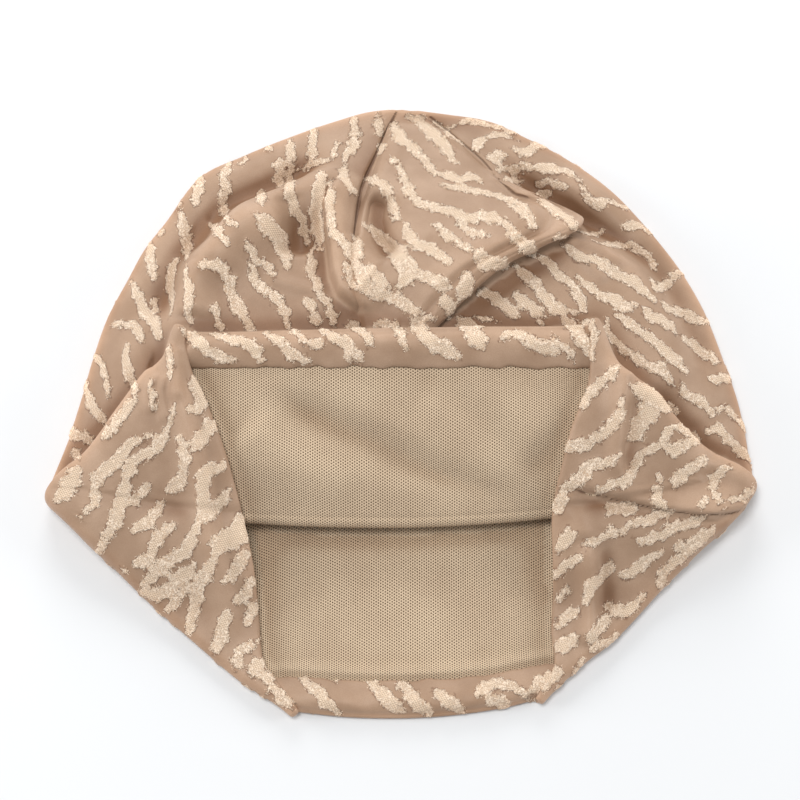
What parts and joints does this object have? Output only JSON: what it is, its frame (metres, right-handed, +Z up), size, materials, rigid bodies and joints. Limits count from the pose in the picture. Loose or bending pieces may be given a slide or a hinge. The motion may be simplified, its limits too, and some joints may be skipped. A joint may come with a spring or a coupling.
{
  "type": "pleated beanie",
  "caption": "Slouchy two-layer cloth beanie with a draped crown pleat, lying flat with its mouth folded open over a net lining.",
  "frame": {"origin": "middle of the footprint, on the surface that the cap lies on", "axes": "+Z up, +Y from the open mouth to the crown, +X across the cap from fold tip to fold tip"},
  "size_m": [0.2714, 0.2402, 0.043],
  "materials": {
    "stripe_cloth": "smooth rose-beige woven ground with raised, looped cream stripes",
    "net_lining": "matt beige net knit with small staggered holes"
  },
  "bodies": {
    "root": {"outer_shell": "stripe_cloth", "crown_pleat": "stripe_cloth", "lining": "net_lining"}
  },
  "joints": []
}
